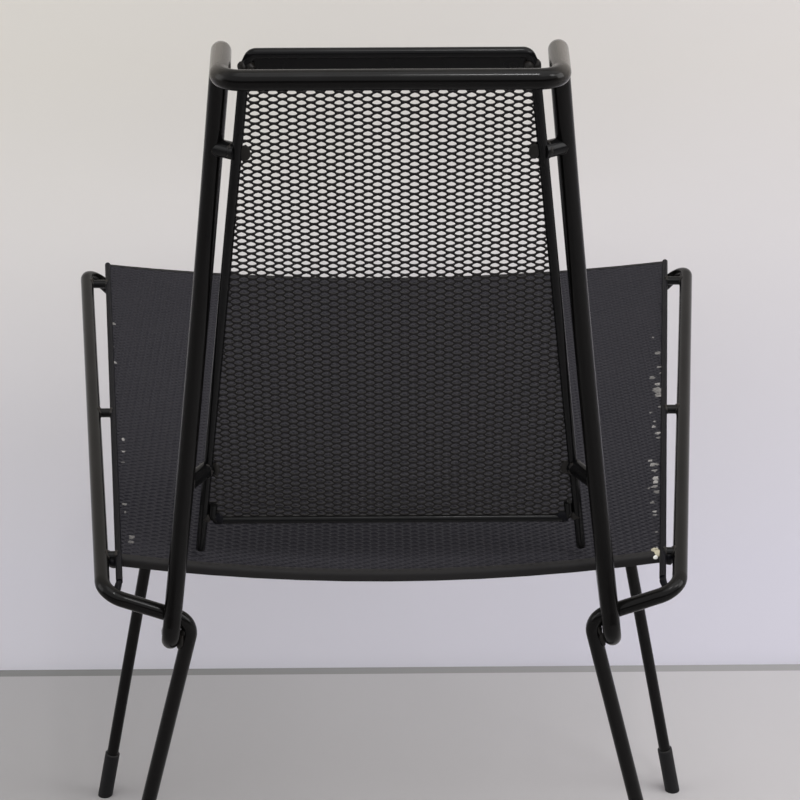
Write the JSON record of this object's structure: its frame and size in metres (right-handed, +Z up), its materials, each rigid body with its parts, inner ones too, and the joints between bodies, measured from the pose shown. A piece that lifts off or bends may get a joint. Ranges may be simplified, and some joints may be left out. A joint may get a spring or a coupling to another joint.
{
  "type": "dining chair",
  "caption": "Stacking dining chair of bent round steel rod with a seat and a backrest of expanded-metal sheet held off the frame by short welded pegs.",
  "frame": {"origin": "on the floor in the middle of the chair's outline, at the bottom of its bounding box", "axes": "+Z up, the sitter faces -Y, +X is the sitter's left"},
  "size_m": [0.4698, 0.4872, 0.74],
  "materials": {
    "frame_paint": "black satin paint on round steel rod",
    "rim_paint": "black satin paint, worn at the edges",
    "mesh_paint": "black paint on expanded steel sheet",
    "cap_plastic": "black moulded plastic"
  },
  "bodies": {
    "root": {"back_rod": "frame_paint", "back_top_rail": "rim_paint", "back_top_strip": "rim_paint", "back_bottom_rail": "rim_paint", "back_mesh": "mesh_paint", "seat_front_lip": "rim_paint", "seat_rear_lip": "rim_paint", "seat_mesh": "mesh_paint", "left_side_rod": "frame_paint", "right_side_rod": "frame_paint", "left_back_side_bar": "rim_paint", "right_back_side_bar": "rim_paint", "left_seat_side_bar": "rim_paint", "right_seat_side_bar": "rim_paint", "left_upper_back_peg": "rim_paint", "right_upper_back_peg": "rim_paint", "left_lower_back_peg": "rim_paint", "right_lower_back_peg": "rim_paint", "left_front_seat_peg": "rim_paint", "right_front_seat_peg": "rim_paint", "left_middle_seat_peg": "rim_paint", "right_middle_seat_peg": "rim_paint", "left_rear_seat_peg": "rim_paint", "right_rear_seat_peg": "rim_paint", "left_front_foot_cap": "cap_plastic", "right_front_foot_cap": "cap_plastic", "left_rear_foot_cap": "cap_plastic", "right_rear_foot_cap": "cap_plastic"}
  },
  "joints": []
}
